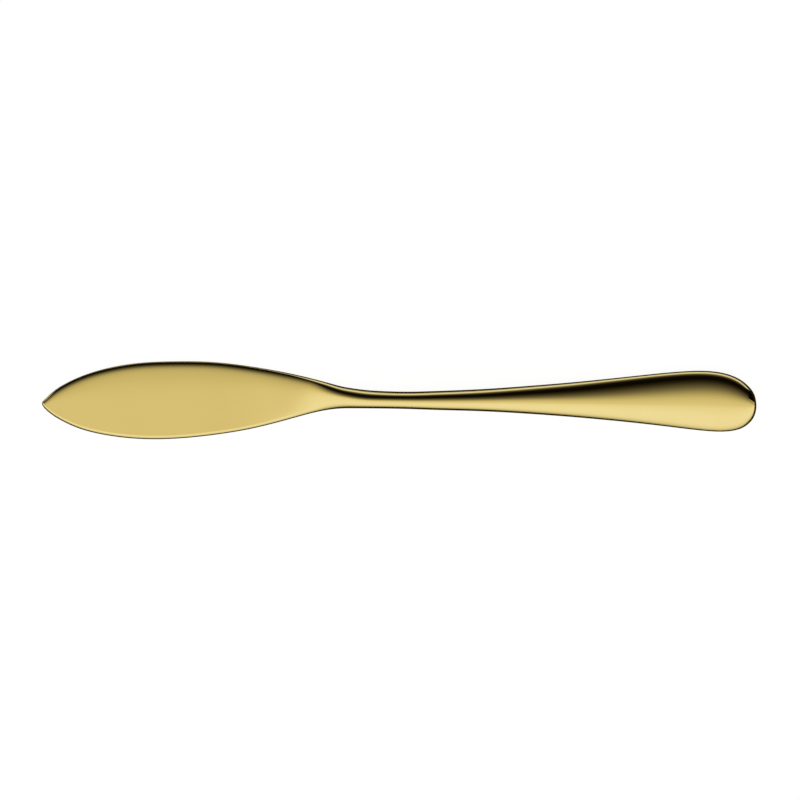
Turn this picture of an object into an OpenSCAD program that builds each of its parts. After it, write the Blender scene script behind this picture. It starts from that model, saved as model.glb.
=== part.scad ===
// Fish knife in one forging of steel: a flat blade, an oval neck and a flared teardrop handle.
// The knife lies on its underside, tip toward -X, spine toward +Y, on the plane z = 0.
// One smooth loft runs from the tip to the handle's end. The blade, the neck and the handle are
// lengths of that loft, which meet face to face where the one ends and the next begins.

/* [Blade] */
// Length of the blade, from its tip to the shoulder
blade_length = 86; // [75:1:105]
// Greatest width of the blade, from its spine to its belly
blade_width = 22.3; // [18:0.1:28]
// Thickness of the blade between its flat faces
blade_thickness = 1.8; // [1:0.1:2.5]
// Width of the rounding at the blade's spine and tip
edge_rounding = 0.15; // [0.1:0.05:0.6]
// Width of the rounding at the blade's belly, which is its dull edge
belly_rounding = 1; // [0.3:0.1:1.5]
// Width to which both roundings grow where the blade swells into the neck
shoulder_rounding = 2.2; // [1:0.1:3]
// Depth to which the face rolls off at the spine
spine_fall = 0.4; // [0.2:0.02:0.6]
// Width of that roll-off, from the spine inward
spine_fall_width = 6; // [4:0.5:10]
// Depth by which the face slopes down from the blade's middle to the spine
face_slope = 0.15; // [0:0.01:0.2]

/* [Neck] */
// Length of the neck, from the shoulder to where the handle starts to flare
neck_length = 28; // [22:1:36]
// Width of the neck where it is narrowest
neck_width = 5; // [4:0.1:7]
// Thickness of the neck
neck_thickness = 3.9; // [3:0.1:6]
// Height of the gap under the neck when the knife lies on a table
neck_rise = 1.8; // [0.5:0.1:4]

/* [Handle] */
// Length of the handle, from the neck to its rounded end
handle_length = 91; // [75:1:110]
// Greatest width of the handle, near its end
handle_width = 17.1; // [13:0.1:22]
// Thickness of the handle at its end
handle_thickness = 4.6; // [3:0.1:6]
// Length of the rounding that closes the handle's end, seen from the side
end_rounding = 3.5; // [2:0.5:8]

/* [Finish] */
// Depth ground off the blade's underside, which leaves a true flat to rest on
ground_depth = 0.03; // [0.02:0.01:0.1]
// Rings of the loft from one row of the tables to the next
ring_steps = 4; // [2:1:6]
// Points round each ring
ring_points = 48; // [24:4:64]

/* [Hidden] */

gold = [0.84, 0.73, 0.42];
// Fullness of the oval section, where 2 is a plain ellipse
oval_power = 2.4;
// How suddenly the face rolls off at the spine
spine_fall_power = 10;
// How early the rounding of the edges grows as the blade swells
shoulder_power = 1.5;
overall_length = blade_length + neck_length + handle_length;
tip_x = -overall_length / 2;
shoulder_x = tip_x + blade_length;
flare_x = shoulder_x + neck_length;
end_x = flare_x + handle_length;

// The outline and the body, row by row, in shares chosen by hand:
// place along the piece, spine and belly as shares of half its width, swell from the flat
// section (0) to the oval one (1), rise of the underside, and lean of the crown to the belly.
blade_shares = [
    [0.000, -0.075, 0.075, 0.00, 0.00, 0.00],
    [0.009, 0.020, 0.205, 0.00, 0.00, 0.00],
    [0.030, 0.175, 0.350, 0.00, 0.00, 0.00],
    [0.065, 0.370, 0.520, 0.00, 0.00, 0.00],
    [0.130, 0.615, 0.740, 0.00, 0.00, 0.00],
    [0.220, 0.830, 0.905, 0.00, 0.00, 0.00],
    [0.330, 0.965, 0.995, 0.00, 0.00, 0.00],
    [0.450, 1.003, 0.985, 0.00, 0.00, 0.00],
    [0.570, 0.985, 0.895, 0.00, 0.00, 0.00],
    [0.690, 0.880, 0.745, 0.01, 0.00, 0.00],
    [0.800, 0.735, 0.540, 0.08, 0.00, 0.25],
    [0.890, 0.582, 0.350, 0.26, 0.03, 0.38],
    [0.955, 0.450, 0.245, 0.74, 0.13, 0.18],
];
neck_shares = [
    [0.00, 1.60, 0.94, 0.93, 0.29, 0.14],
    [0.11, 1.38, 0.92, 0.97, 0.47, 0.20],
    [0.26, 1.17, 0.93, 0.99, 0.70, 0.24],
    [0.45, 1.04, 0.95, 1.00, 0.89, 0.20],
    [0.70, 0.99, 1.01, 1.00, 1.00, 0.16],
    [1.00, 1.08, 1.12, 1.00, 0.99, 0.15],
];
handle_shares = [
    [0.130, 0.373, 0.367, 1.00, 0.88, 0.15],
    [0.270, 0.475, 0.446, 1.00, 0.69, 0.14],
    [0.420, 0.605, 0.562, 1.00, 0.47, 0.14],
    [0.570, 0.765, 0.707, 1.00, 0.26, 0.12],
    [0.700, 0.910, 0.858, 1.00, 0.11, 0.08],
    [0.810, 0.990, 0.997, 1.00, 0.03, 0.03],
    [0.890, 0.928, 1.053, 1.00, 0.00, 0.00],
    [0.945, 0.720, 0.972, 1.00, 0.00, 0.00],
    [0.977, 0.450, 0.770, 1.00, 0.00, 0.00],
    [0.994, 0.180, 0.515, 1.00, 0.00, 0.00],
    [1.000, -0.180, 0.180, 1.00, 0.00, 0.00],
];

// Steps that bring the spline's control points home, each to a third of the miss before it
settling_steps = 24;

function between(a, b, share) = a + (b - a) * share;

// A row of shares as real sizes: x, spine y, belly y, thickness, swell, rise, lean
function real_row(row, start, length, width, thickness) = [
    start + row[0] * length,
    row[1] * width / 2,
    -row[2] * width / 2,
    thickness,
    row[3],
    row[4] * neck_rise,
    row[5],
];

function forged_thickness(swell) = between(blade_thickness + ground_depth, neck_thickness, swell);

rows = concat(
    [for (r = blade_shares) real_row(r, tip_x, blade_length, blade_width, forged_thickness(r[3]))],
    [for (r = neck_shares) real_row(r, shoulder_x, neck_length, neck_width, forged_thickness(r[3]))],
    [for (r = handle_shares)
        real_row(r, flare_x, handle_length, handle_width, between(neck_thickness, handle_thickness, r[0]))],
);
shoulder_row = len(blade_shares);
flare_row = shoulder_row + len(neck_shares) - 1;
end_row = len(rows) - 1;

// At the tip and at the handle's end the spine line turns round into the belly line
function turned(row) = [row[0], row[2], row[1], row[3], row[4], row[5], row[6]];
function with_ends(points) = concat([turned(points[1])], points, [turned(points[len(points) - 2])]);

// Control points of the cubic spline that passes through every row, found by settling
function passed(points) =
    let (c = with_ends(points))
    [for (i = [1:len(points)]) (c[i - 1] + 4 * c[i] + c[i + 1]) / 6];
function settled(points, steps) =
    steps < 1 ? points : settled(points + rows - passed(points), steps - 1);
controls = with_ends(settled(rows, settling_steps));

function spline_shares(f) = [
    (1 - f) ^ 3,
    4 - 6 * f ^ 2 + 3 * f ^ 3,
    1 + 3 * f + 3 * f ^ 2 - 3 * f ^ 3,
    f ^ 3,
] / 6;
function spline(u) =
    let (i = min(floor(u), end_row - 1), share = spline_shares(u - i))
    share[0] * controls[i] + share[1] * controls[i + 1]
        + share[2] * controls[i + 2] + share[3] * controls[i + 3];

// How full the body is at a distance from a rounded edge: nothing at the edge, all past the reach
function fill(distance, reach) = sqrt(1 - (1 - min(1, max(0, distance) / reach)) ^ 2);

// Depth of the face under its highest line, for t from the belly (-1) to the spine (1)
function face_depth(t, reach) =
    spine_fall * (1 - min(1, (1 - t) * reach / spine_fall_width)) ^ spine_fall_power
        + face_slope * max(0, t) ^ 3;

// Width of a rounding for a swell between 0 and 1, from its width on the flat of the blade
function rounding(width, swell) =
    between(width, shoulder_rounding, 1 - (1 - swell) ^ shoulder_power);

// Height of the section over its middle plane, as a share of half the thickness
function flat_crown(t, reach, thickness, swell) =
    (1 - face_depth(t, reach) * 2 / thickness)
        * fill((1 - t) * reach, rounding(edge_rounding, swell))
        * fill((1 + t) * reach, rounding(belly_rounding, swell));
function oval_crown(t, lean) = sqrt(max(0, 1 - abs(t + lean * (1 - t ^ 2)) ^ oval_power));

// One ring of the loft: a section square to X, from the spine over the top to the belly and back
function ring(u) =
    let (
        row = spline(u),
        middle = (row[1] + row[2]) / 2,
        reach = (row[1] - row[2]) / 2,
        half = row[3] / 2,
        swell = min(1, max(0, row[4])),
        ends_fill = fill(row[0] - tip_x, edge_rounding) * fill(end_x - row[0], end_rounding),
        middle_z = half + max(0, row[5]) - ground_depth * (1 - swell),
    )
    [for (k = [0:ring_points - 1])
        let (
            turn = 360 * k / ring_points,
            t = cos(turn),
            crown = between(flat_crown(t, reach, row[3], swell), oval_crown(t, row[6]), swell),
        )
        [row[0], middle + reach * t, middle_z + sign(sin(turn)) * ends_fill * crown * half]];

// Middle of a ring, halfway from its spine point to its belly point
function centre(points) = (points[0] + points[len(points) / 2]) / 2;

// The stretch of the loft from one row to another, closed by a flat cut or by the rounded end
module loft(first_row, last_row) {
    first = first_row == 0 ? 1 : first_row * ring_steps;
    last = last_row == end_row ? end_row * ring_steps - 1 : last_row * ring_steps;
    rings = [for (k = [first:last]) ring(k / ring_steps)];
    start_cap = 0;
    end_cap = 1 + len(rings) * ring_points;
    points = concat(
        [centre(ring(first_row))],
        [for (one = rings) each one],
        [centre(ring(last_row))],
    );
    function at(i, k) = 1 + i * ring_points + k % ring_points;
    start_faces = [for (k = [0:ring_points - 1]) [start_cap, at(0, k), at(0, k + 1)]];
    end_faces = [for (k = [0:ring_points - 1]) [end_cap, at(len(rings) - 1, k + 1), at(len(rings) - 1, k)]];
    side_faces = [for (i = [0:len(rings) - 2], k = [0:ring_points - 1])
        each [
            [at(i, k), at(i + 1, k), at(i + 1, k + 1)],
            [at(i, k), at(i + 1, k + 1), at(i, k + 1)],
        ]];
    polyhedron(points, concat(start_faces, side_faces, end_faces), convexity = 4);
}

module blade() {
    color(gold)
        difference() {
            loft(0, shoulder_row);
            // What the grinding takes off the underside
            translate([tip_x - blade_width, -blade_width, -blade_thickness])
                cube([blade_length + 2 * blade_width, 2 * blade_width, blade_thickness]);
        }
}

module neck() {
    color(gold)
        loft(shoulder_row, flare_row);
}

module handle() {
    color(gold)
        loft(flare_row, end_row);
}

blade();
neck();
handle();
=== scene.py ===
"""Polished gold fish knife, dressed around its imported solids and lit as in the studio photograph.

The knife is one smooth loft. Each of its three lengths, the blade, the neck and the handle, starts
as an open tube, is cut into rings in edit mode, and has its points laid on the loft's surface.
"""

import math

import bpy
import numpy as np
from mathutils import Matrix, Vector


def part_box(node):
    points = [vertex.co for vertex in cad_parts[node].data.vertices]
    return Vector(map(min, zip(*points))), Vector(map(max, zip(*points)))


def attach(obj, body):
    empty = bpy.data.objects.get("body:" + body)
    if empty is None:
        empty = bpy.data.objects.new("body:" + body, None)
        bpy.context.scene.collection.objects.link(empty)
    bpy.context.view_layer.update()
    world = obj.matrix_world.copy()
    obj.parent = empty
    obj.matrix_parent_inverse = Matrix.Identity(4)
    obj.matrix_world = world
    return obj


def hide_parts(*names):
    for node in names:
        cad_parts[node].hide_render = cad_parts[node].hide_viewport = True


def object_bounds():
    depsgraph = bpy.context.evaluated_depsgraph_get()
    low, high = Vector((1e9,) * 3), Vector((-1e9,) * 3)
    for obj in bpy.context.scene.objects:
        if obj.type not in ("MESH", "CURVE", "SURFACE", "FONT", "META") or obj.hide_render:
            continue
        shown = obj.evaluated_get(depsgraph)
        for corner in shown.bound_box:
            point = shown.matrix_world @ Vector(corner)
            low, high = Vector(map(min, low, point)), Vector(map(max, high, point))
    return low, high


bl_info = {
    "name": "Fish knife",
    "version": (1, 0, 0),
    "blender": (4, 5, 0),
    "location": "View3D > Sidebar > Fish knife",
    "description": "Builds a polished fish knife around its solids, with its studio",
    "category": "Object",
}

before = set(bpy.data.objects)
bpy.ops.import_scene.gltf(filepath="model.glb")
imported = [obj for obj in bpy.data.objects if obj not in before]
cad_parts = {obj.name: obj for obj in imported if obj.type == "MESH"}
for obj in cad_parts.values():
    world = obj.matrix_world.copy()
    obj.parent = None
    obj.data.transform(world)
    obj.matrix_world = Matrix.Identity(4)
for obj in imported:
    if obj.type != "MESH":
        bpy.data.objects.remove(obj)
SOLID_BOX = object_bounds()
BODY = "root"

MM = 0.001
DEGREES = 180 / math.pi
BLACK = (0, 0, 0, 1)
WHITE = (1, 1, 1, 1)

# Rows of the loft, in the shares that the solids are drawn by: place along the piece, spine and
# belly as shares of half its width, swell from the flat section (0) to the oval one (1), rise of
# the underside, and lean of the crown to the belly.
BLADE_SHARES = (
    (0.000, -0.075, 0.075, 0.00, 0.00, 0.00),
    (0.009, 0.020, 0.205, 0.00, 0.00, 0.00),
    (0.030, 0.175, 0.350, 0.00, 0.00, 0.00),
    (0.065, 0.370, 0.520, 0.00, 0.00, 0.00),
    (0.130, 0.615, 0.740, 0.00, 0.00, 0.00),
    (0.220, 0.830, 0.905, 0.00, 0.00, 0.00),
    (0.330, 0.965, 0.995, 0.00, 0.00, 0.00),
    (0.450, 1.003, 0.985, 0.00, 0.00, 0.00),
    (0.570, 0.985, 0.895, 0.00, 0.00, 0.00),
    (0.690, 0.880, 0.745, 0.01, 0.00, 0.00),
    (0.800, 0.735, 0.540, 0.08, 0.00, 0.25),
    (0.890, 0.582, 0.350, 0.26, 0.03, 0.38),
    (0.955, 0.450, 0.245, 0.74, 0.13, 0.18),
)
NECK_SHARES = (
    (0.00, 1.60, 0.94, 0.93, 0.29, 0.14),
    (0.11, 1.38, 0.92, 0.97, 0.47, 0.20),
    (0.26, 1.17, 0.93, 0.99, 0.70, 0.24),
    (0.45, 1.04, 0.95, 1.00, 0.89, 0.20),
    (0.70, 0.99, 1.01, 1.00, 1.00, 0.16),
    (1.00, 1.08, 1.12, 1.00, 0.99, 0.15),
)
HANDLE_SHARES = (
    (0.130, 0.373, 0.367, 1.00, 0.88, 0.15),
    (0.270, 0.475, 0.446, 1.00, 0.69, 0.14),
    (0.420, 0.605, 0.562, 1.00, 0.47, 0.14),
    (0.570, 0.765, 0.707, 1.00, 0.26, 0.12),
    (0.700, 0.910, 0.858, 1.00, 0.11, 0.08),
    (0.810, 0.990, 0.997, 1.00, 0.03, 0.03),
    (0.890, 0.928, 1.053, 1.00, 0.00, 0.00),
    (0.945, 0.720, 0.972, 1.00, 0.00, 0.00),
    (0.977, 0.450, 0.770, 1.00, 0.00, 0.00),
    (0.994, 0.180, 0.515, 1.00, 0.00, 0.00),
    (1.000, -0.180, 0.180, 1.00, 0.00, 0.00),
)
SHOULDER_ROW = len(BLADE_SHARES)
FLARE_ROW = SHOULDER_ROW + len(NECK_SHARES) - 1
END_ROW = FLARE_ROW + len(HANDLE_SHARES)

# Steps that bring the spline's control points home, each to a third of the miss before it
SETTLING_STEPS = 24

# Fullness of the oval section, how suddenly the face rolls off at the spine, and how early the
# rounding of the edges grows as the blade swells
OVAL_POWER = 2.4
SPINE_FALL_POWER = 10
SHOULDER_POWER = 1.5

# Fineness of the polished skin, the small step along it that its normals are found by, the least
# length that a normal is divided by, and the distance under which two of its points are one
RINGS_PER_ROW = 16
RING_POINTS = 192
NORMAL_STEP = 1e-4
LEAST_LENGTH = 1e-30
MERGE_DISTANCE = 1e-8

# Framing of the photograph: the real width that its square picture takes in at the height of the
# knife's edges, the point that the camera stands over, and its sensor's width in millimetres
PICTURE_WIDTH = 229.5 * MM
EDGE_HEIGHT = 2 * MM
PICTURE_CENTRE = (0.26 * MM, 0.08 * MM)
SENSOR_WIDTH = 36


def solid_length(node):
    """Length of one of the frame's solids along the knife."""
    low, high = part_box(node)
    return high.x - low.x


class FishKnifeSizes(bpy.types.PropertyGroup):
    """Sizes of the knife."""

    blade_length: bpy.props.FloatProperty(
        name="Blade length",
        description="From the tip to the shoulder",
        default=solid_length("blade"),
        unit="LENGTH",
    )
    blade_width: bpy.props.FloatProperty(
        name="Blade width",
        description="Greatest width, from the spine to the belly",
        default=22.3 * MM,
        unit="LENGTH",
    )
    blade_thickness: bpy.props.FloatProperty(
        name="Blade thickness",
        description="Between the blade's flat faces",
        default=1.8 * MM,
        unit="LENGTH",
    )
    edge_rounding: bpy.props.FloatProperty(
        name="Edge rounding",
        description="Width of the rounding at the blade's spine and tip",
        default=0.15 * MM,
        unit="LENGTH",
    )
    belly_rounding: bpy.props.FloatProperty(
        name="Belly rounding",
        description="Width of the rounding at the blade's belly, which is its dull edge",
        default=1 * MM,
        unit="LENGTH",
    )
    shoulder_rounding: bpy.props.FloatProperty(
        name="Shoulder rounding",
        description="Width to which both roundings grow where the blade swells into the neck",
        default=2.2 * MM,
        unit="LENGTH",
    )
    spine_fall: bpy.props.FloatProperty(
        name="Spine fall",
        description="Depth to which the face rolls off at the spine",
        default=0.4 * MM,
        unit="LENGTH",
    )
    spine_fall_width: bpy.props.FloatProperty(
        name="Spine fall width",
        description="Width of that roll-off, from the spine inward",
        default=6 * MM,
        unit="LENGTH",
    )
    face_slope: bpy.props.FloatProperty(
        name="Face slope",
        description="Depth by which the face slopes down from the blade's middle to the spine",
        default=0.15 * MM,
        unit="LENGTH",
    )
    neck_length: bpy.props.FloatProperty(
        name="Neck length",
        description="From the shoulder to the start of the flare",
        default=solid_length("neck"),
        unit="LENGTH",
    )
    neck_width: bpy.props.FloatProperty(
        name="Neck width",
        description="Width of the neck where it is narrowest",
        default=5 * MM,
        unit="LENGTH",
    )
    neck_thickness: bpy.props.FloatProperty(
        name="Neck thickness",
        description="Thickness of the neck",
        default=3.9 * MM,
        unit="LENGTH",
    )
    neck_rise: bpy.props.FloatProperty(
        name="Neck rise",
        description="Gap under the neck when the knife lies on a table",
        default=1.8 * MM,
        unit="LENGTH",
    )
    handle_length: bpy.props.FloatProperty(
        name="Handle length",
        description="From the neck to the rounded end",
        default=solid_length("handle"),
        unit="LENGTH",
    )
    handle_width: bpy.props.FloatProperty(
        name="Handle width",
        description="Greatest width, near the end",
        default=17.1 * MM,
        unit="LENGTH",
    )
    handle_thickness: bpy.props.FloatProperty(
        name="Handle thickness",
        description="Thickness of the handle at its end",
        default=4.6 * MM,
        unit="LENGTH",
    )
    end_rounding: bpy.props.FloatProperty(
        name="End rounding",
        description="Length of the rounding that closes the handle's end, seen from the side",
        default=3.5 * MM,
        unit="LENGTH",
    )
    ground_depth: bpy.props.FloatProperty(
        name="Ground depth",
        description="Depth ground off the blade's underside to leave a true flat",
        default=0.03 * MM,
        unit="LENGTH",
    )


class FishKnifeFinish(bpy.types.PropertyGroup):
    """Colours, polish and lens."""

    gold: bpy.props.FloatVectorProperty(
        name="Gold",
        description="Colour of the polished gold coat",
        default=(0.87, 0.72, 0.31),
        subtype="COLOR",
        min=0,
        max=1,
    )
    roughness: bpy.props.FloatProperty(
        name="Roughness",
        description="Roughness of the polish",
        default=0.045,
        min=0,
        max=1,
        subtype="FACTOR",
    )
    floor: bpy.props.FloatVectorProperty(
        name="Floor",
        description="Colour of the studio floor",
        default=(1, 1, 1),
        subtype="COLOR",
        min=0,
        max=1,
    )
    lens: bpy.props.FloatProperty(
        name="Lens",
        description="Focal length of the camera, in millimetres",
        default=1000,
        unit="CAMERA",
    )


# The loft


def between(low, high, share):
    """The value at a share of the way from low to high."""
    return low + (high - low) * share


def real_rows(sizes):
    """The rows as real sizes: x, spine y, belly y, thickness, swell, rise, lean."""
    tip = -(sizes.blade_length + sizes.neck_length + sizes.handle_length) / 2
    shoulder = tip + sizes.blade_length
    flare = shoulder + sizes.neck_length
    forged = sizes.blade_thickness + sizes.ground_depth
    lengths = (
        (BLADE_SHARES, tip, sizes.blade_length, sizes.blade_width),
        (NECK_SHARES, shoulder, sizes.neck_length, sizes.neck_width),
        (HANDLE_SHARES, flare, sizes.handle_length, sizes.handle_width),
    )
    rows = []
    for shares, start, length, width in lengths:
        for along, spine, belly, swell, rise, lean in shares:
            thickness = between(forged, sizes.neck_thickness, swell)
            if shares is HANDLE_SHARES:
                thickness = between(sizes.neck_thickness, sizes.handle_thickness, along)
            rows.append((
                start + along * length,
                spine * width / 2,
                -belly * width / 2,
                thickness,
                swell,
                rise * sizes.neck_rise,
                lean,
            ))
    return np.array(rows)


def turned(row):
    """A row with its spine and belly swapped, as the outline turns round an end."""
    return row[[0, 2, 1, 3, 4, 5, 6]]


def with_ends(points):
    """Control points with one more past each end, where the outline turns round."""
    return np.vstack([turned(points[1]), points, turned(points[-2])])


def fill(distance, reach):
    """How full the body is at a distance from a rounded edge, from 0 at it to 1 past its reach."""
    return np.sqrt(1 - (1 - np.clip(distance / reach, 0, 1)) ** 2)


class Loft:
    """The knife's surface, as a function of the row and of the turn round its section."""

    def __init__(self, sizes):
        self.sizes = sizes
        rows = real_rows(sizes)
        self.tip_x, self.end_x = rows[0][0], rows[-1][0]
        points = rows
        for _ in range(SETTLING_STEPS):
            c = with_ends(points)
            points = points + rows - (c[:-2] + 4 * c[1:-1] + c[2:]) / 6
        self.controls = with_ends(points)

    def row(self, u):
        """The cubic spline through the rows."""
        i = np.clip(np.floor(u).astype(int), 0, END_ROW - 1)
        f = (u - i)[..., None]
        c = self.controls
        return (
            (1 - f) ** 3 * c[i]
            + (4 - 6 * f**2 + 3 * f**3) * c[i + 1]
            + (1 + 3 * f + 3 * f**2 - 3 * f**3) * c[i + 2]
            + f**3 * c[i + 3]
        ) / 6

    def point(self, u, turn):
        """Points of the surface. The row u counts from the tip, and the turn round the section
        starts at the spine and goes over the top."""
        row = self.row(u)
        x, spine, belly, thickness, swell, rise, lean = np.moveaxis(row, -1, 0)
        swell = np.clip(swell, 0, 1)
        t = np.cos(turn)
        reach = (spine - belly) / 2
        leaning = np.abs(t + lean * (1 - t**2))
        oval_crown = np.sqrt(np.maximum(0, 1 - leaning**OVAL_POWER))
        crown = between(self.flat_crown(t, reach, thickness, swell), oval_crown, swell)
        height = self.ends_fill(x) * crown * thickness / 2 * np.sign(np.sin(turn))
        middle_z = thickness / 2 + np.maximum(0, rise) - self.sizes.ground_depth * (1 - swell)
        y = (spine + belly) / 2 + reach * t
        return np.stack([x, y, np.maximum(0, middle_z + height)], axis=-1)

    def flat_crown(self, t, reach, thickness, swell):
        """Height of the flat section over its middle plane, in shares of half its thickness."""
        sizes = self.sizes
        to_spine = np.clip((1 - t) * reach / sizes.spine_fall_width, 0, 1)
        depth = sizes.spine_fall * (1 - to_spine) ** SPINE_FALL_POWER
        depth = depth + sizes.face_slope * np.maximum(0, t) ** 3
        growth = 1 - (1 - swell) ** SHOULDER_POWER
        at_spine = between(sizes.edge_rounding, sizes.shoulder_rounding, growth)
        at_belly = between(sizes.belly_rounding, sizes.shoulder_rounding, growth)
        edges_fill = fill((1 - t) * reach, at_spine) * fill((1 + t) * reach, at_belly)
        return (1 - depth * 2 / thickness) * edges_fill

    def ends_fill(self, x):
        """How full the body is near the tip and near the handle's end."""
        at_tip = fill(x - self.tip_x, self.sizes.edge_rounding)
        return at_tip * fill(self.end_x - x, self.sizes.end_rounding)

    def normal(self, u, turn):
        """Outward normals of the surface, by small steps along it and round it."""
        low, high = (np.clip(u + step, 0, END_ROW) for step in (-NORMAL_STEP, NORMAL_STEP))
        along = self.point(high, turn) - self.point(low, turn)
        around = self.point(u, turn + NORMAL_STEP) - self.point(u, turn - NORMAL_STEP)
        normal = np.cross(around, along)
        length = np.linalg.norm(normal, axis=-1, keepdims=True)
        return normal / np.maximum(length, LEAST_LENGTH)


# Modelling


def deselect_all():
    """Deselects everything, because an operator acts on all that is selected."""
    for obj in bpy.context.selected_objects:
        obj.select_set(False)


def ringed_tube(name, rings, start_x, length):
    """An open tube along X, cut into rings in edit mode."""
    deselect_all()
    bpy.ops.mesh.primitive_cylinder_add(
        vertices=RING_POINTS,
        radius=1,
        depth=length,
        end_fill_type="NOTHING",
        location=(start_x + length / 2, 0, 0),
        rotation=(0, math.pi / 2, 0),
    )
    tube = bpy.context.object
    tube.name = name
    tube.data.name = name
    bpy.ops.object.transform_apply(location=True, rotation=True, scale=True)
    bpy.ops.object.mode_set(mode="EDIT")
    bpy.ops.mesh.select_all(action="DESELECT")
    bpy.ops.object.mode_set(mode="OBJECT")
    points = tube.data.vertices
    for edge in tube.data.edges:
        start, end = (points[i].co for i in edge.vertices)
        edge.select = abs(start.x - end.x) > length / 2
    bpy.ops.object.mode_set(mode="EDIT")
    bpy.ops.mesh.select_mode(type="EDGE")
    bpy.ops.mesh.subdivide(number_cuts=rings - 1)
    bpy.ops.object.mode_set(mode="OBJECT")
    return tube


def lay_on_loft(tube, loft, first_row, last_row, start_x, length):
    """Moves a tube's points to their places on the loft, and returns the loft's normals there."""
    mesh = tube.data
    co = np.empty(len(mesh.vertices) * 3)
    mesh.vertices.foreach_get("co", co)
    co = co.reshape(-1, 3)
    u = between(first_row, last_row, (co[:, 0] - start_x) / length)
    u = np.clip(np.round(u * RINGS_PER_ROW) / RINGS_PER_ROW, first_row, last_row)
    turn = np.arctan2(co[:, 2], co[:, 1])
    step = 2 * math.pi / RING_POINTS
    turn = np.round(turn / step) * step
    mesh.vertices.foreach_set("co", loft.point(u, turn).ravel())
    normals = loft.normal(u, turn)
    for at_end, facing in ((u <= 0, -1), (u >= END_ROW, 1)):
        normals[at_end] = (facing, 0, 0)
    mesh.update()
    return normals


def close_skin(tube, normals):
    """Closes a tube and gives it the loft's own normals. A rounded end closes as its doubled
    points merge, and a cut end gets one flat face."""
    mesh = tube.data
    kept_normals = "surface_normal"
    store = mesh.attributes.new(kept_normals, "FLOAT_VECTOR", "POINT")
    store.data.foreach_set("vector", normals.astype(np.float32).ravel())
    deselect_all()
    tube.select_set(True)
    bpy.context.view_layer.objects.active = tube
    bpy.ops.object.mode_set(mode="EDIT")
    bpy.ops.mesh.select_all(action="SELECT")
    bpy.ops.mesh.remove_doubles(threshold=MERGE_DISTANCE)
    bpy.ops.mesh.select_all(action="DESELECT")
    bpy.ops.mesh.select_mode(type="EDGE")
    bpy.ops.mesh.select_non_manifold()
    bpy.ops.mesh.edge_face_add()
    bpy.ops.mesh.select_all(action="SELECT")
    bpy.ops.mesh.normals_make_consistent(inside=False)
    bpy.ops.object.mode_set(mode="OBJECT")
    bpy.ops.object.shade_smooth()

    stored = np.empty(len(mesh.vertices) * 3, np.float32)
    mesh.attributes[kept_normals].data.foreach_get("vector", stored)
    corner_points = np.empty(len(mesh.loops), int)
    mesh.loops.foreach_get("vertex_index", corner_points)
    corner_normals = stored.reshape(-1, 3)[corner_points]
    for face in mesh.polygons:
        if len(face.vertices) > 4:
            corner_normals[face.loop_indices] = face.normal
    mesh.normals_split_custom_set(corner_normals.tolist())
    mesh.attributes.remove(mesh.attributes[kept_normals])


def add_length(scene, node, first_row, last_row):
    """Adds one length of the knife, from one row of the loft to another, for its solid."""
    low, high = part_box(node)
    length = high.x - low.x
    rings = (last_row - first_row) * RINGS_PER_ROW
    skin = ringed_tube(f"polished_{node}", rings, low.x, length)
    loft = Loft(scene.fish_knife)
    normals = lay_on_loft(skin, loft, first_row, last_row, low.x, length)
    close_skin(skin, normals)
    skin.data.materials.append(gilt_material(scene.fish_knife_finish))
    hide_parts(node)
    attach(skin, BODY)


# Materials

# The value that noise lies round
NOISE_MEAN = 0.5

# The faint lines that polishing leaves along the knife: how fine they are along each axis, per
# metre, how much they change the roughness, and how strong and deep they are as bumps
LINE_FINENESS = (180, 2600, 2600)
LINE_ROUGHNESS = 0.15
LINE_STRENGTH = 0.02
LINE_DEPTH = 0.005 * MM

# The haze of the polish: how fine it is, per metre, how much it changes the roughness, the values
# between which it tints the gold, and how much it leaves of the gold's red, green and blue
HAZE_FINENESS = 90
HAZE_ROUGHNESS = 0.25
HAZE_SPAN = (0.35, 0.65)
HAZE_TINT = (0.995, 0.985, 0.97)


class Wire:
    """A node's socket, so that shader maths reads as plain expressions."""

    def __init__(self, tree, socket):
        self.tree = tree
        self.socket = socket

    def maths(self, operation, other=0):
        return self.tree.maths(operation, self, other)

    def __add__(self, other):
        return self.maths("ADD", other)

    def __sub__(self, other):
        return self.maths("SUBTRACT", other)

    def __rsub__(self, other):
        return self.tree.maths("SUBTRACT", other, self)

    def __mul__(self, other):
        return self.maths("MULTIPLY", other)

    def __truediv__(self, other):
        return self.maths("DIVIDE", other)

    __radd__ = __add__
    __rmul__ = __mul__


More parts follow.
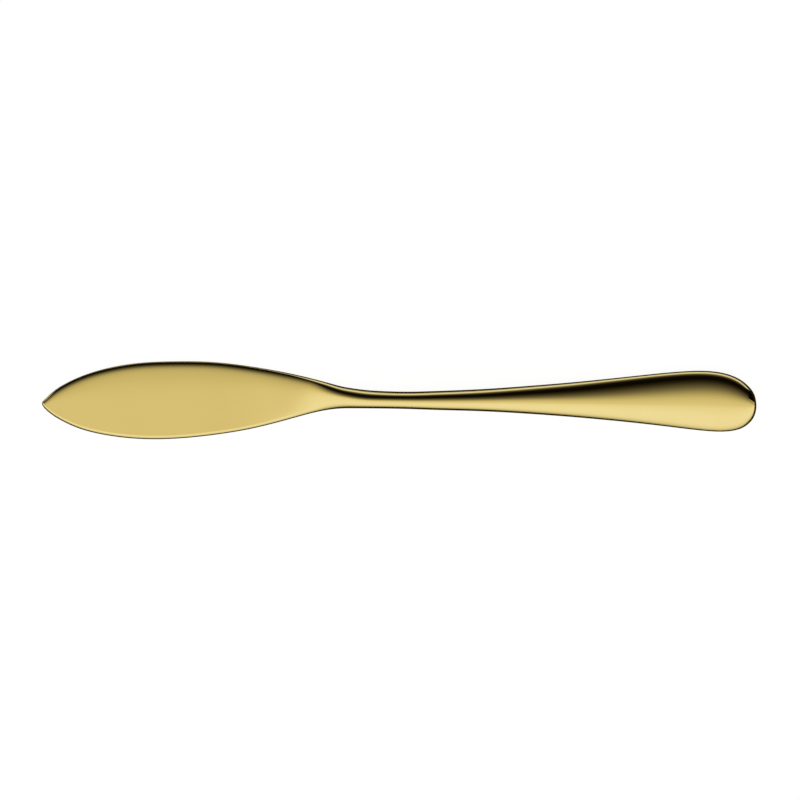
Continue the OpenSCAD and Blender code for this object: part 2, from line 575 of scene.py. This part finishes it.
class Tree:
    """A node tree under construction."""

    def __init__(self, node_tree):
        self.nodes = node_tree.nodes
        self.links = node_tree.links
        self.nodes.clear()

    def add(self, kind, settings=None, sockets=None, output=0):
        """Adds a node with its settings and the values or links of its sockets, and returns the
        output that is named, or all of them where several are."""
        node = self.nodes.new(kind)
        for name, value in (settings or {}).items():
            if name == "stops":
                self.set_stops(node.color_ramp, value)
            else:
                setattr(node, name, value)
        for name, value in (sockets or {}).items():
            socket = self.find(node.inputs, name)
            if isinstance(value, Wire):
                self.links.new(value.socket, socket)
            else:
                socket.default_value = value
        if not node.outputs:
            return None
        if isinstance(output, tuple):
            return [Wire(self, self.find(node.outputs, one)) for one in output]
        return Wire(self, self.find(node.outputs, output))

    @staticmethod
    def find(sockets, name):
        """The socket with a place, an identifier or else a name."""
        if isinstance(name, int):
            return sockets[name]
        for socket in sockets:
            if socket.identifier == name:
                return socket
        return sockets[name]

    @staticmethod
    def set_stops(ramp, stops):
        """Gives a ramp its stops, each a place from 0 to 1 and a colour."""
        while len(ramp.elements) > 1:
            ramp.elements.remove(ramp.elements[-1])
        ramp.elements[0].position = stops[0][0]
        ramp.elements[0].color = (*stops[0][1], 1)
        for place, colour in stops[1:]:
            ramp.elements.new(place).color = (*colour, 1)

    def maths(self, operation, first, second):
        """Adds a Math node on two values or wires."""
        return self.add("ShaderNodeMath", {"operation": operation}, {0: first, 1: second})

    def noise(self, place, fineness, detail):
        """Adds a Noise node, whose values lie round NOISE_MEAN."""
        sockets = {"Vector": place, "Scale": fineness, "Detail": detail}
        return self.add("ShaderNodeTexNoise", None, sockets, "Fac")

    def mix_colour(self, share, first, second):
        """A mix of two colours, from the first at share 0 to the second at share 1."""
        return self.add(
            "ShaderNodeMix",
            {"data_type": "RGBA"},
            {"Factor_Float": share, "A_Color": first, "B_Color": second},
            "Result_Color",
        )

    def smooth(self, value, low, high):
        """Rises smoothly from 0 to 1 as a value passes from low to high."""
        return self.add(
            "ShaderNodeMapRange",
            {"interpolation_type": "SMOOTHSTEP"},
            {"Value": value, "From Min": low, "From Max": high},
        )


def new_material(name):
    """A new material, and its empty node tree."""
    material = bpy.data.materials.new(name)
    material.use_nodes = True
    return material, Tree(material.node_tree)


def gilt_material(finish):
    """Polished steel under a pale gold coat, with the faint lines and haze of its polish."""
    material, tree = new_material("gilt_steel")
    place = tree.add("ShaderNodeTexCoord", output="Object")
    stretched = tree.add("ShaderNodeMapping", None, {"Vector": place, "Scale": LINE_FINENESS})
    lines = tree.noise(stretched, fineness=1, detail=3)
    haze = tree.noise(place, HAZE_FINENESS, detail=4)
    unevenness = (haze - NOISE_MEAN) * HAZE_ROUGHNESS + (lines - NOISE_MEAN) * LINE_ROUGHNESS
    gold = tuple(finish.gold)
    hazed = tuple(share * part for share, part in zip(HAZE_TINT, gold))
    colour = tree.mix_colour(tree.smooth(haze, *HAZE_SPAN), (*gold, 1), (*hazed, 1))
    bump = tree.add(
        "ShaderNodeBump",
        None,
        {"Height": lines, "Strength": LINE_STRENGTH, "Distance": LINE_DEPTH},
    )
    shader = tree.add(
        "ShaderNodeBsdfPrincipled",
        None,
        {
            "Base Color": colour,
            "Metallic": 1.0,
            "Roughness": finish.roughness * (1 + unevenness),
            "Normal": bump,
        },
    )
    tree.add("ShaderNodeOutputMaterial", None, {"Surface": shader})
    return material


# Studio

# Light that the polish mirrors, straight overhead and by the angle in degrees from there toward
# the spine side
OVERHEAD = (0.77, 0.71, 0.54)
LIGHT_STOPS = (
    (-96, (0.20, 0.18, 0.06)),
    (-88, (0.38, 0.37, 0.30)),
    (-80, (0.55, 0.53, 0.48)),
    (-64, (0.80, 0.80, 0.72)),
    (-54, (0.88, 0.88, 0.80)),
    (-42, (0.97, 0.96, 0.96)),
    (-20, (0.99, 0.98, 0.98)),
    (-12, (0.975, 0.96, 0.94)),
    (-8, (0.95, 0.93, 0.87)),
    (-4, (0.90, 0.88, 0.77)),
    (0, OVERHEAD),
    (1, (0.715, 0.665, 0.48)),
    (2.5, (0.635, 0.59, 0.42)),
    (4.5, (0.515, 0.48, 0.335)),
    (7, (0.375, 0.35, 0.245)),
    (9.5, (0.265, 0.245, 0.18)),
    (12, (0.18, 0.165, 0.125)),
    (15, (0.115, 0.105, 0.08)),
    (19, (0.06, 0.055, 0.036)),
    (24, (0.022, 0.018, 0.01)),
    (31, (0.003, 0.002, 0.001)),
    (45, (0.007, 0.006, 0.003)),
    (52, (0.07, 0.065, 0.045)),
    (58, (0.18, 0.17, 0.13)),
    (62, (0.42, 0.41, 0.36)),
    (66, (0.76, 0.78, 0.85)),
    (70, (0.94, 0.97, 1.0)),
    (74, (0.88, 0.90, 0.98)),
    (79, (0.64, 0.64, 0.62)),
    (85, (0.41, 0.40, 0.29)),
    (92, (0.24, 0.24, 0.15)),
)

# How far toward the spine side, in degrees, the light turns from overhead to straight past the tip
TIP_TURN = 24

# The bright strip low on the spine side: the degrees to either side of straight across the knife
# over which its ends fade, and the angles over which it starts
STRIP_SIDES = (50, 57)
STRIP_START = (45, 58)

# The dark band is lifted past both ends of the knife: how far a direction points along the knife
# where the lift fades in, and the angles over which the lift starts and stops
LIFT_AT_TIP = (-0.65, -0.5)
LIFT_AT_END = (0.5, 0.62)
LIFT_START = (8, 20)
LIFT_STOP_AT_TIP = (48, 56)
LIFT_STOP_AT_END = (56, 62)

# Side of the floor in metres, its drop below the knife, which keeps the two from touching, the
# grey that takes the knife's shadow, and the strength of the white over that grey
FLOOR_SIDE = 24
FLOOR_DROP = 0.05 * MM
FLOOR_GREY = (0.12, 0.12, 0.12, 1)
FLOOR_GLOW = 0.94

# The flag round the knife: its reach past the knife, its height and its colour. It is seen only in
# the polish, and its dark brown is painted shade, mirrored as the dark line at the knife's edges
EDGE_FLAG_REACH = 300 * MM
EDGE_FLAG_HEIGHT = 0.1 * MM
EDGE_LINE_SHADE_COLOUR = (0.05, 0.035, 0.0, 1)

# The flag past the handle's end: its distance from the end, its corners in millimetres across the
# knife and up, and its colour. It is seen only in the polish, and its black is painted shade,
# mirrored at the end's corner on the spine side
END_FLAG_DISTANCE = 3.5 * MM
END_FLAG_CORNERS = ((-0.6, 3.2), (6.5, 3.2), (2.7, 13.2), (15, 12))
END_CORNER_SHADE_COLOUR = (0.005, 0.004, 0.002, 1)


def ramp_place(angle):
    """Place on a ramp over the full turn, for an angle in degrees or a wire of one."""
    return (angle + 180) / 360


def light_the_room():
    """Lights the room from the world. A bright ceiling falls off into a dark band over the spine
    side, with a bright strip low beyond the band. Past both ends of the knife the band is as light
    as straight overhead."""
    world = bpy.data.worlds.new("studio")
    bpy.context.scene.world = world
    world.use_nodes = True
    tree = Tree(world.node_tree)
    direction = tree.add("ShaderNodeTexCoord", output="Generated")
    x, y, z = tree.add("ShaderNodeSeparateXYZ", None, {"Vector": direction}, ("X", "Y", "Z"))
    angle = y.maths("ARCTAN2", z) * DEGREES + x.maths("MINIMUM", 0) * TIP_TURN
    stops = [(ramp_place(degrees), colour) for degrees, colour in LIGHT_STOPS]
    light = tree.add("ShaderNodeValToRGB", {"stops": stops}, {"Fac": ramp_place(angle)})

    sector = x.maths("ABSOLUTE").maths("ARCTAN2", y) * DEGREES
    past_the_strip = tree.smooth(sector, *STRIP_SIDES) * tree.smooth(angle, *STRIP_START)
    light = tree.mix_colour(past_the_strip, light, BLACK)

    past_the_tip = 1 - tree.smooth(x, *LIFT_AT_TIP)
    past_the_end = tree.smooth(x, *LIFT_AT_END)
    lifted_at_tip = past_the_tip * (1 - tree.smooth(angle, *LIFT_STOP_AT_TIP))
    lifted_at_end = past_the_end * (1 - tree.smooth(angle, *LIFT_STOP_AT_END))
    lifted = (lifted_at_tip + lifted_at_end) * tree.smooth(angle, *LIFT_START)
    light = tree.mix_colour(lifted, light, (*OVERHEAD, 1))

    to_camera = tree.add("ShaderNodeLightPath", output="Is Camera Ray")
    seen = tree.mix_colour(to_camera, light, WHITE)
    background = tree.add("ShaderNodeBackground", None, {"Color": seen, "Strength": 1.0})
    tree.add("ShaderNodeOutputWorld", None, {"Surface": background})


def add_floor(finish):
    """A wide pale floor, white to the camera and in the polish, that keeps the knife's shadow."""
    deselect_all()
    bpy.ops.mesh.primitive_plane_add(size=FLOOR_SIDE, location=(0, 0, -FLOOR_DROP))
    bpy.ops.object.transform_apply(location=True, rotation=True, scale=True)
    floor = bpy.context.object
    floor.name = "studio_floor"
    material, tree = new_material("studio_floor")
    matt = tree.add("ShaderNodeBsdfDiffuse", None, {"Color": FLOOR_GREY})
    kinds = ("Is Camera Ray", "Is Glossy Ray", "Is Transmission Ray")
    camera, glossy, transmission = tree.add("ShaderNodeLightPath", output=kinds)
    seen = camera.maths("MAXIMUM", glossy).maths("MAXIMUM", transmission)
    white = {"Color": (*finish.floor, 1), "Strength": seen * FLOOR_GLOW}
    glow = tree.add("ShaderNodeEmission", None, white)
    both = tree.add("ShaderNodeAddShader", None, {0: matt, 1: glow})
    tree.add("ShaderNodeOutputMaterial", None, {"Surface": both})
    floor.data.materials.append(material)


def add_card(name, corners, colour):
    """A dark card that is seen only in the polish, where it shows as a painted dark reflection: the
    camera does not see it and it casts no shadow. Its corners come in two rows of two.
    """
    deselect_all()
    bpy.ops.mesh.primitive_plane_add(size=1)
    card = bpy.context.object
    card.name = name
    for point, corner in zip(card.data.vertices, corners):
        point.co = corner
    material, tree = new_material(name)
    matt = tree.add("ShaderNodeBsdfDiffuse", None, {"Color": colour})
    tree.add("ShaderNodeOutputMaterial", None, {"Surface": matt})
    card.data.materials.append(material)
    card.visible_camera = False
    card.visible_diffuse = False
    card.visible_transmission = False
    card.visible_shadow = False


def add_edge_line_shade_card():
    """A dark brown card flat around the knife, seen only in the polish. Its reflection is painted
    shade, the dark line at the knife's edges.
    """
    low, high = SOLID_BOX
    x, y = ((high[axis] - low[axis]) / 2 + EDGE_FLAG_REACH for axis in (0, 1))
    z = EDGE_FLAG_HEIGHT
    add_card("edge_line_shade_card", ((-x, -y, z), (x, -y, z), (-x, y, z), (x, y, z)), EDGE_LINE_SHADE_COLOUR)


def add_end_corner_shade_card():
    """A small black card just past the handle's end, seen only in the polish. Its reflection is
    painted shade on the end's corner on the spine side.
    """
    x = SOLID_BOX[1][0] + END_FLAG_DISTANCE
    corners = [(x, y * MM, z * MM) for y, z in END_FLAG_CORNERS]
    add_card("end_corner_shade_card", corners, END_CORNER_SHADE_COLOUR)


def add_camera(finish):
    """A long lens straight over the knife."""
    data = bpy.data.cameras.new("overhead")
    data.lens = finish.lens
    data.sensor_width = SENSOR_WIDTH
    camera = bpy.data.objects.new("overhead", data)
    bpy.context.scene.collection.objects.link(camera)
    distance = PICTURE_WIDTH * data.lens / data.sensor_width
    camera.location = (*PICTURE_CENTRE, EDGE_HEIGHT + distance)
    bpy.context.scene.camera = camera


# Operators


class FISHKNIFE_OT_blade(bpy.types.Operator):
    """Adds the flat, pointed blade with its rolled spine"""

    bl_idname = "fishknife.blade"
    bl_label = "Blade"

    def execute(self, context):
        add_length(context.scene, "blade", 0, SHOULDER_ROW)
        return {"FINISHED"}


class FISHKNIFE_OT_neck(bpy.types.Operator):
    """Adds the slim oval neck"""

    bl_idname = "fishknife.neck"
    bl_label = "Neck"

    def execute(self, context):
        add_length(context.scene, "neck", SHOULDER_ROW, FLARE_ROW)
        return {"FINISHED"}


class FISHKNIFE_OT_handle(bpy.types.Operator):
    """Adds the flared handle with its rounded end"""

    bl_idname = "fishknife.handle"
    bl_label = "Handle"

    def execute(self, context):
        add_length(context.scene, "handle", FLARE_ROW, END_ROW)
        return {"FINISHED"}


class FISHKNIFE_OT_studio(bpy.types.Operator):
    """Adds the floor, the flags that paint dark reflections in the polish, the light and the camera
    """

    bl_idname = "fishknife.studio"
    bl_label = "Studio"

    def execute(self, context):
        finish = context.scene.fish_knife_finish
        add_floor(finish)
        add_edge_line_shade_card()
        add_end_corner_shade_card()
        light_the_room()
        add_camera(finish)
        context.scene.view_settings.view_transform = "Standard"
        return {"FINISHED"}


class FISHKNIFE_PT_panel(bpy.types.Panel):
    """Lists the knife's sizes and finish, and the operators that add its pieces"""

    bl_label = "Fish knife"
    bl_idname = "FISHKNIFE_PT_panel"
    bl_space_type = "VIEW_3D"
    bl_region_type = "UI"
    bl_category = "Fish knife"

    def draw(self, context):
        for group in (context.scene.fish_knife, context.scene.fish_knife_finish):
            for name in group.bl_rna.properties.keys():
                if name not in ("rna_type", "name"):
                    self.layout.prop(group, name)
        for operator in OPERATORS:
            self.layout.operator(operator.bl_idname)


OPERATORS = (FISHKNIFE_OT_blade, FISHKNIFE_OT_neck, FISHKNIFE_OT_handle, FISHKNIFE_OT_studio)
CLASSES = (FishKnifeSizes, FishKnifeFinish, *OPERATORS, FISHKNIFE_PT_panel)


def register():
    for one in CLASSES:
        bpy.utils.register_class(one)
    bpy.types.Scene.fish_knife = bpy.props.PointerProperty(type=FishKnifeSizes)
    bpy.types.Scene.fish_knife_finish = bpy.props.PointerProperty(type=FishKnifeFinish)


def unregister():
    del bpy.types.Scene.fish_knife_finish
    del bpy.types.Scene.fish_knife
    for one in reversed(CLASSES):
        bpy.utils.unregister_class(one)


def main():
    register()
    bpy.ops.fishknife.blade()
    bpy.ops.fishknife.neck()
    bpy.ops.fishknife.handle()
    bpy.ops.fishknife.studio()


if __name__ == "__main__":
    main()
